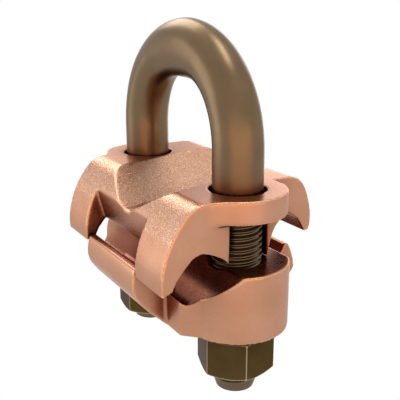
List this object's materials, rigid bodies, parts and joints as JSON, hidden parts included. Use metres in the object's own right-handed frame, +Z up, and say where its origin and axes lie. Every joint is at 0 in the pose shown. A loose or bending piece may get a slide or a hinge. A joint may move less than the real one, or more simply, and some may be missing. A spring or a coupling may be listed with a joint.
{
  "type": "earth rod clamp",
  "caption": "Earth rod clamp: a U-bolt draws a rod into a V seat while two castings grip earth cables in channels on either side.",
  "frame": {"origin": "centre of the bow of the U-bolt, on the axis of a rod that fills the bow", "axes": "+Z up along the legs towards the bow, X across the two legs (near leg at +X), Y along the rod; the small cable channel is on the -Y side"},
  "size_m": [0.0594, 0.0404, 0.0732],
  "materials": {
    "bolt_bronze": "satin, dark bronze",
    "cast_copper_alloy": "satin sand casting, copper coloured",
    "washer_bronze": "satin, dark bronze",
    "nut_bronze": "satin, dark bronze"
  },
  "bodies": {
    "u_bolt": {"u_bolt": "bolt_bronze"},
    "upper_clamp": {"upper_clamp": "cast_copper_alloy"},
    "lower_clamp": {"lower_clamp": "cast_copper_alloy", "spring_washer_near": "washer_bronze", "spring_washer_far": "washer_bronze"},
    "nut_near": {"nut_near": "nut_bronze"},
    "nut_far": {"nut_far": "nut_bronze"}
  },
  "joints": [
    {"name": "upper_slide", "type": "slide", "parent": "u_bolt", "child": "upper_clamp", "axis": [0, 0, 1], "range_m": [0, 0.0065]},
    {"name": "lower_slide", "type": "slide", "parent": "u_bolt", "child": "lower_clamp", "axis": [0, 0, -1], "range_m": [0, 0.0024]},
    {"name": "nut_near_turn", "type": "hinge", "parent": "lower_clamp", "child": "nut_near", "pos_m": [0.01925, 0, -0.0407], "axis": [0, 0, -1], "range_deg": [0, 691.3]},
    {"name": "nut_far_turn", "type": "hinge", "parent": "lower_clamp", "child": "nut_far", "pos_m": [-0.01925, 0, -0.0424], "axis": [0, 0, -1], "range_deg": [0, 691.3]}
  ],
  "couplings": [
    {"joint": "nut_near_turn", "follows": "lower_slide", "rad_per_m": 5026.5},
    {"joint": "nut_far_turn", "follows": "lower_slide", "rad_per_m": 5026.5}
  ]
}
